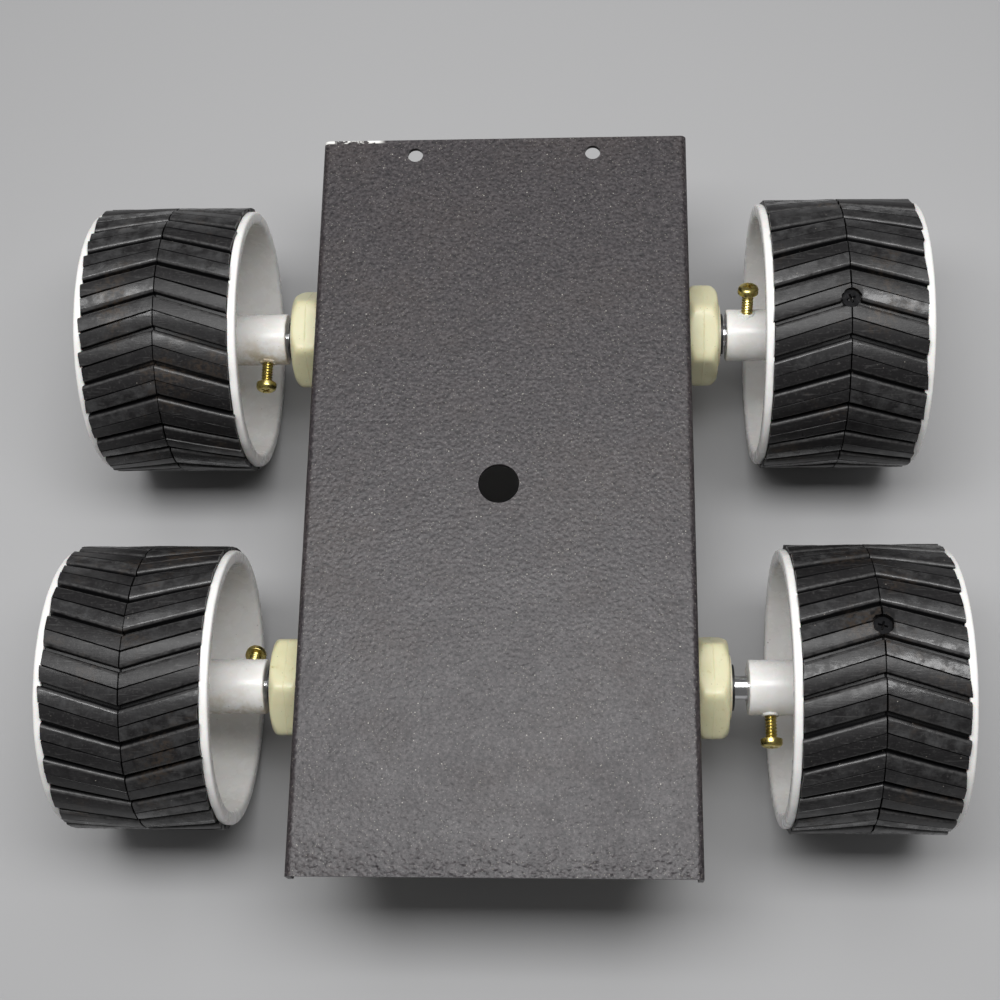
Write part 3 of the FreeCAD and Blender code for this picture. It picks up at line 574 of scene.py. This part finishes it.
def uneven_rim(point, seed):
    """Where a point of the rim's true profile really is: the lips and the hub's end are uneven."""
    radius = math.hypot(point.x, point.y)
    if radius > RIM_SEAT + 0.3:
        swell = rough(point, 5.0, 0.16, seed) + rough(point, 1.6, 0.05, seed + 2)
        scale = (radius + min(0.05, swell)) / radius
        return Vector((point.x * scale, point.y * scale, point.z))
    if HUB_BORE + 0.3 < radius < HUB_RADIUS + 0.1 and point.z < 1.0 - HUB_OVERHANG:
        return point + Vector((0, 0, rough(point, 2.0, 0.12, seed)))
    return point


def screw_burr(angle, seed):
    """Ragged ring of plastic pushed up where the hub screw enters the hub."""
    burr = bmesh.new()
    profile = [(1.45, -0.5), (2.3, -0.5), (2.15, 0.02), (1.95, 0.22), (1.7, 0.34), (1.5, 0.2)]
    lathe(burr, profile, 40, lambda point: point * (1 + rough(point, 0.9, 0.22, seed)))
    burr.transform(radial_matrix(angle, HUB_SCREW_STATION) @ Matrix.Translation((0, 0, HUB_RADIUS)))
    return burr


def rim_dirt(point, side):
    """How dirty the rim is at a point, from 0 to 1; the left hubs are soiled on their front."""
    radius = math.hypot(point.x, point.y)
    if radius < HUB_RADIUS + 1 and point.z < WEB_START:
        most = 0.80 if side < 0 else 0.12
        frontward = max(0.0, -side * point.x / HUB_RADIUS)
        return 0.08 + most * frontward ** 2
    if radius < RIM_INSIDE + 0.2 and point.z < WEB_START + 0.5:
        return 0.16
    return 0.06


def build_rim(name, corner):
    """Glossy rim in one moulding, with a burr where the screw enters the hub."""
    seed = corner["seed"]
    bm = bmesh.new()
    lathe(bm, rim_profile(), 240, lambda point: uneven_rim(point, seed))
    dirt = bm.verts.layers.float.new("dirt")
    join(bm, screw_burr(corner["hub_screw"], seed))
    for vertex in bm.verts:
        vertex[dirt] = rim_dirt(vertex.co, corner["side"])
    bm.transform(axle_matrix(corner, corner["seat"]))
    nodes = [name + "_rim", name + "_wheel_disc", name + "_hub"]
    add_piece(name + "_moulded_rim", bm, "rim_plastic", name + "_wheel", nodes)


def band_section(edge, line, rng):
    """(arc, radius, shade) points over one flat band, from a groove to a fine line; the third value is 0 for
    painted shade, about 1 on the rubbed top and above 1 for a painted highlight.
    """
    way = math.copysign(1.0, line - edge)
    top = TREAD_RADIUS - 0.03
    at_edge = top - rng.uniform(0.04, 0.34)
    at_line = top - rng.uniform(0.0, 0.22)
    slope = (at_line - at_edge) / abs(line - edge)
    return [
        (edge - 0.22 * way, LUG_ROOT_RADIUS, 0.0),
        (edge - 0.03 * way, at_edge - 1.00, 0.0),
        (edge + 0.05 * way, at_edge - 0.58, 0.6),
        (edge + 0.22 * way, at_edge - 0.30, 1.5),
        (edge + 0.50 * way, at_edge - 0.10, 1.4),
        (edge + 0.85 * way, at_edge + 0.85 * slope, 1.0),
        (line - 0.16 * way, at_line, 1.0),
        (line - 0.03 * way, at_line - 0.20, 0.2),
        (line, LUG_ROOT_RADIUS, 0.0),
    ]


def tread_band(layers, corner, middle, half, section, rng):
    """One flat band of one arm of a chevron: a closed block from the seam to the lip.

    middle is the lug's angle at the seam, and half is -1 for the inner arm and 1 for the outer one.
    """
    start = rng.uniform(0.09, 0.24)
    over = rng.uniform(-0.12, 0.30) if half > 0 else rng.uniform(-0.08, 0.10)
    shift = math.radians(rng.uniform(-0.10, 0.10))
    skew = math.radians(rng.uniform(-0.25, 0.25))
    droop = rng.uniform(-0.16, 0.05)
    slant = rng.uniform(-0.10, 0.14)
    seed = rng.uniform(0, 50)
    sheen = rng.uniform(0.25, 1.0)
    steps = 14
    rows = []
    for step in range(steps + 1):
        share = step / steps
        row = []
        for arc, radius, _ in section:
            height = radius + droop * share if radius > CARCASS_RADIUS else radius
            end = TREAD_HALF + (over + slant * arc if height > LIP_CLEARANCE else -0.03)
            reach = start + (end - start) * share
            turn = middle - corner["apex"] * CHEVRON_SWEEP * reach / TREAD_HALF + shift + skew * share
            point = polar(height, turn + arc / TREAD_RADIUS, RIM_MIDDLE + half * reach)
            sink = min(0.0, rough(point, 3.0, 0.07, seed) - 0.02) if radius > CARCASS_RADIUS else 0.0
            drift = (rough(point, 2.2, 0.06, seed + 9) + rough(point, 0.7, 0.03, seed)) / TREAD_RADIUS
            row.append(polar(height + sink, turn + arc / TREAD_RADIUS + drift, point.z))
        rows.append(row)
    band = bmesh.new()
    wear_shade_highlight, gloss = (band.verts.layers.float.new(name) for name in layers)
    for loop in grid_shell(band, rows):
        # Each vertex keeps its section point's rubbed, painted-shade or painted-highlight value, and its band's
        # sheen.
        for (_, _, worn), vertex in zip(section, loop):
            vertex[wear_shade_highlight] = worn
            vertex[gloss] = sheen
    return band


def hole_cutter(angle, seed):
    """Uneven round cutter that opens the lugs over the tread screw."""

    def uneven(point):
        scale = 1 + rough(point, 0.9, 0.13, seed)
        return Vector((point.x * scale, point.y * scale, point.z))

    low = RIM_SEAT - 0.2
    high = TREAD_RADIUS + 1.0
    cutter = bmesh.new()
    profile = [(0, low), (SCREW_HOLE_RADIUS, low), (SCREW_HOLE_RADIUS, high), (0, high)]
    lathe(cutter, profile, 40, uneven)
    cutter.transform(radial_matrix(angle, RIM_MIDDLE))
    return cutter


def carcass_profile():
    """Section of the thin strip under the lugs, with a shallow groove at the seam."""
    low = LIP_WIDTH + TREAD_PLAY
    high = RIM_WIDTH - LIP_WIDTH - TREAD_PLAY
    return [
        (RIM_SEAT + TREAD_PLAY, low),
        (CARCASS_RADIUS - 0.2, low),
        (CARCASS_RADIUS, low + 0.25),
        (CARCASS_RADIUS, RIM_MIDDLE - 0.3),
        (CARCASS_RADIUS - 0.25, RIM_MIDDLE),
        (CARCASS_RADIUS, RIM_MIDDLE + 0.3),
        (CARCASS_RADIUS, high - 0.25),
        (CARCASS_RADIUS - 0.2, high),
        (RIM_SEAT + TREAD_PLAY, high),
    ]


def build_tread(name, corner):
    """Rubber strip: a thin carcass and two rows of lugs that meet in a seam, each lug of two bands."""
    rng = random.Random(corner["seed"])
    layers = ("wear_shade_highlight", "sheen")
    bm = bmesh.new()
    for layer in layers:
        bm.verts.layers.float.new(layer)
    lathe(bm, carcass_profile(), 200)
    lug_half = (LUG_PITCH * TREAD_RADIUS - GROOVE_WIDTH) / 2
    screw = corner["tread_screw"]
    for lug in range(LUG_COUNT):
        middle = math.radians(corner["groove"]) + (lug + 0.5) * LUG_PITCH
        near_screw = abs(math.remainder(middle - screw, 2 * math.pi)) < LUG_PITCH * 0.8
        for half in (-1, 1):
            gap = rng.uniform(0.02, 0.15)
            for way in (-1, 1):
                section = band_section(way * lug_half, way * gap / 2, rng)
                band = tread_band(layers, corner, middle, half, section, rng)
                if near_screw:
                    band = cut(band, hole_cutter(screw, corner["seed"]), tolerant=True)
                join(bm, band)
    bm.transform(axle_matrix(corner, corner["seat"]))
    add_piece(name + "_lugged_tread", bm, "tread_rubber", name + "_wheel", [name + "_tread"], 38.0)


# ---- screws ---------------------------------------------------------------------------------------


def cross_cutter(top, depth, arm, width):
    """Four-armed cutter for a cross recess, tapered from a little above top to depth below it."""
    rows = []
    for height, share in ((top - depth, 0.42), (top + 0.3, 1.08)):
        long, short = arm * share, width * (0.7 + 0.3 * share)
        arm_points = ((long, -short), (long, short), (short, short))
        row = []
        for quarter in range(4):
            turn = Matrix.Rotation(quarter * math.pi / 2, 3, "Z")
            row += [turn @ Vector((x, y, height)) for x, y in arm_points]
        rows.append(row)
    bm = bmesh.new()
    grid_shell(bm, rows)
    return bm


def threaded_rod(bm, low, high, radius):
    """Closed rod with a V thread that runs out under the head."""
    steps = int((high - low) / THREAD_PITCH * RINGS_PER_PITCH)
    rows = []
    for step in range(steps + 1):
        height = low + (high - low) * step / steps
        depth = THREAD_DEPTH * min(1.0, (high - height) / THREAD_RUNOUT)
        row = []
        for number in range(THREAD_SEGMENTS):
            share = number / THREAD_SEGMENTS
            flank = abs(2 * ((height / THREAD_PITCH - share) % 1.0) - 1)
            row.append(polar(radius - depth * flank, 2 * math.pi * share, height))
        rows.append(row)
    grid_shell(bm, rows)


def build_hub_screw(name, corner):
    """Pan-head cross-recess machine screw that stands out of the hub."""
    head = bmesh.new()
    base = HUB_SCREW_TOP
    top = base + HUB_HEAD_HEIGHT
    profile = [
        (0, base, 0),
        (HUB_HEAD_RADIUS, base, 0.25),
        (HUB_HEAD_RADIUS, top, 1.15),
        (1.0, top + 0.02, 0),
        (0, top + 0.03, 0),
    ]
    lathe(head, rounded(profile, steps=6), 48)
    head = cut(head, cross_cutter(top, depth=1.3, arm=1.45, width=0.33))
    bm = bmesh.new()
    threaded_rod(bm, HUB_BORE, base + 0.2, HUB_SCREW_RADIUS)
    join(bm, head)
    bm.transform(Matrix.Rotation(0.35 * corner["seed"], 4, "Z"))
    bm.transform(radial_matrix(corner["hub_screw"], HUB_SCREW_STATION))
    bm.transform(axle_matrix(corner, corner["seat"]))
    add_piece(name + "_threaded_hub_screw", bm, "brass_screw", name + "_wheel", [name + "_hub_screw"])


def build_tread_screw(name, corner):
    """Countersunk cross-recess screw sunk in the seam of the tread."""
    top = TREAD_SCREW_TOP
    profile = [
        (0, TREAD_SCREW_TIP, 0),
        (0.5, TREAD_SCREW_TIP, 0),
        (TREAD_SCREW_RADIUS, TREAD_SCREW_TIP + 1.4, 0),
        (TREAD_SCREW_RADIUS, top - TREAD_HEAD_HEIGHT, 0),
        (TREAD_HEAD_RADIUS, top - 0.25, 0),
        (TREAD_HEAD_RADIUS, top - 0.05, 0.08),
        (1.2, top, 0),
        (0, top, 0),
    ]
    screw = bmesh.new()
    lathe(screw, rounded(profile), 48)
    screw = cut(screw, cross_cutter(top, depth=1.1, arm=1.25, width=0.28))
    screw.transform(Matrix.Rotation(0.5 + 0.21 * corner["seed"], 4, "Z"))
    screw.transform(radial_matrix(corner["tread_screw"], RIM_MIDDLE))
    screw.transform(axle_matrix(corner, corner["seat"]))
    add_piece(name + "_sunk_tread_screw", screw, "black_screw", name + "_wheel", [name + "_tread_screw"])


# ---- motor nuts -----------------------------------------------------------------------------------


def nut_outline(angle):
    """Distance from the axis to a hexagon with rounded corners."""
    power = 22
    total = sum(max(0.0, math.cos(angle - side * math.pi / 3)) ** power for side in range(6))
    return NUT_RADIUS * math.cos(math.pi / 6) / total ** (1 / power)


def chamfer_limit(height):
    """Largest radius that the chamfered ends leave at a height, rounded at the very end."""
    inset = min(height, NUT_HEIGHT - height)
    limit = NUT_FACE + (NUT_RADIUS - NUT_FACE + 0.4) * min(1.6, inset / NUT_CHAMFER)
    return limit - 0.25 * math.exp(-inset / 0.15)


def nut_ring(height, turn, seed):
    """Points round a nut at one height: hexagon and chamfer blended, uneven, with a parting line."""
    blend = 40
    limit = chamfer_limit(height)
    line = 0.14 * math.exp(-((height - NUT_HEIGHT / 2) / 0.1) ** 2)
    ring = []
    for number in range(NUT_SEGMENTS):
        angle = 2 * math.pi * number / NUT_SEGMENTS
        radius = (nut_outline(angle) ** -blend + limit ** -blend) ** (-1 / blend)
        point = polar(radius, angle + turn, height)
        ridge = line * (0.5 + 0.5 * noise.noise(point / 1.4 + Vector((seed, 0, 0))))
        ring.append(polar(radius + ridge + rough(point, 4.0, 0.06, seed), angle + turn, height))
    return ring


def build_nuts():
    """The four moulded hexagon nuts, chamfered, with a faint parting line."""
    bm = bmesh.new()
    heights = [*NUT_LEVELS, NUT_HEIGHT / 2]
    heights += [NUT_HEIGHT - level for level in reversed(NUT_LEVELS)]
    mouth = NUT_BORE + NUT_BORE_CHAMFER
    bore = (
        (mouth, NUT_HEIGHT),
        (NUT_BORE, NUT_HEIGHT - NUT_BORE_CHAMFER),
        (NUT_BORE, NUT_BORE_CHAMFER),
        (mouth, 0.0),
    )
    for corner in CORNERS.values():
        # A flat faces angle 0 before the turn, so 30 degrees more brings a corner there.
        turn = math.radians(90 - corner["nut"] * corner["side"]) + math.pi / 6
        rings = [nut_ring(height, turn, corner["seed"]) for height in heights]
        rings += [circle(radius, height, NUT_SEGMENTS, turn) for radius, height in bore]
        part = bmesh.new()
        loops = [[part.verts.new(point) for point in ring] for ring in rings]
        for first, second in zip(loops, loops[1:] + loops[:1]):
            for number in range(NUT_SEGMENTS):
                after = (number + 1) % NUT_SEGMENTS
                part.faces.new((first[number], second[number], second[after], first[after]))
        part.transform(axle_matrix(corner, NUT_STATION))
        join(bm, part)
    add_piece("moulded_motor_nuts", bm, "nut_nylon", "chassis", ["motor_nuts"])


# ---- assembly -------------------------------------------------------------------------------------


def measure_corners():
    """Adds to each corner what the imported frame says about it."""
    joints = {joint["name"]: joint for joint in frame["joints"]}
    for name, corner in CORNERS.items():
        _, along, up = joints[name + "_wheel_spin"]["pos_m"]
        corner["axle"] = (along, up)
        low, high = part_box(name + "_rim")
        corner["seat"] = max(abs(low.x), abs(high.x)) / MM - RIM_WIDTH
        corner["hub_screw"] = node_angle(corner, name + "_hub_screw")
        corner["tread_screw"] = node_angle(corner, name + "_tread_screw")


def dress_cad_nodes():
    """Gives every CAD node the finish of its slot."""
    slots = {part["node"]: part["material_slot"] for part in frame["record"]["subparts"]}
    for name, node in frame["nodes"].items():
        for holder in node.material_slots:
            holder.material = LOOKS[slots[name]]


def build_floor():
    """Pale painted floor, just under the wheels."""
    bm = bmesh.new()
    bmesh.ops.create_grid(bm, x_segments=1, y_segments=1, size=FLOOR_HALF)
    mesh = bpy.data.meshes.new("floor")
    bm.to_mesh(mesh)
    bm.free()
    ground = Look("floor_paint", (0.42, 0.42, 0.425), 0.65)
    ground.paint(ground.rescale(ground.clouds(3, 3.0), 0.3, 0.8), (0.405, 0.405, 0.41))
    mesh.materials.append(ground.material)
    floor = bpy.data.objects.new("floor", mesh)
    floor.location = (0, 0, -FLOOR_DROP)
    bpy.context.scene.collection.objects.link(floor)


def build_lights():
    """Two soft lamps that point at the origin, and a dim white world."""
    for name, place, width, depth, power in LAMPS:
        lamp = bpy.data.lights.new(name, "AREA")
        lamp.shape = "RECTANGLE"
        lamp.size = width
        lamp.size_y = depth
        lamp.energy = power
        item = bpy.data.objects.new(name, lamp)
        item.location = place
        item.rotation_euler = (-Vector(place)).to_track_quat("-Z", "Y").to_euler()
        item.visible_camera = False
        bpy.context.scene.collection.objects.link(item)
    world = bpy.data.worlds.new("studio")
    world.use_nodes = True
    background = world.node_tree.nodes["Background"]
    background.inputs["Color"].default_value = (1.0, 1.0, 1.0, 1.0)
    background.inputs["Strength"].default_value = WORLD_STRENGTH
    bpy.context.scene.world = world


def place_camera():
    """Camera above and in front of the object, looking down."""
    camera_data = bpy.data.cameras.new("camera")
    camera_data.lens = CAMERA_LENS
    camera_data.sensor_width = 36.0
    camera = bpy.data.objects.new("camera", camera_data)
    turn = Matrix((CAMERA_RIGHT, CAMERA_UP, CAMERA_BACK)).transposed().to_4x4()
    camera.matrix_world = Matrix.Translation(CAMERA_PLACE) @ turn
    bpy.context.scene.collection.objects.link(camera)
    bpy.context.scene.camera = camera
    bpy.context.scene.view_settings.view_transform = "Standard"


measure_corners()
dress_cad_nodes()
for corner_name, corner_data in CORNERS.items():
    build_rim(corner_name, corner_data)
    build_tread(corner_name, corner_data)
    build_hub_screw(corner_name, corner_data)
    build_tread_screw(corner_name, corner_data)
build_nuts()
build_floor()
build_lights()
place_camera()
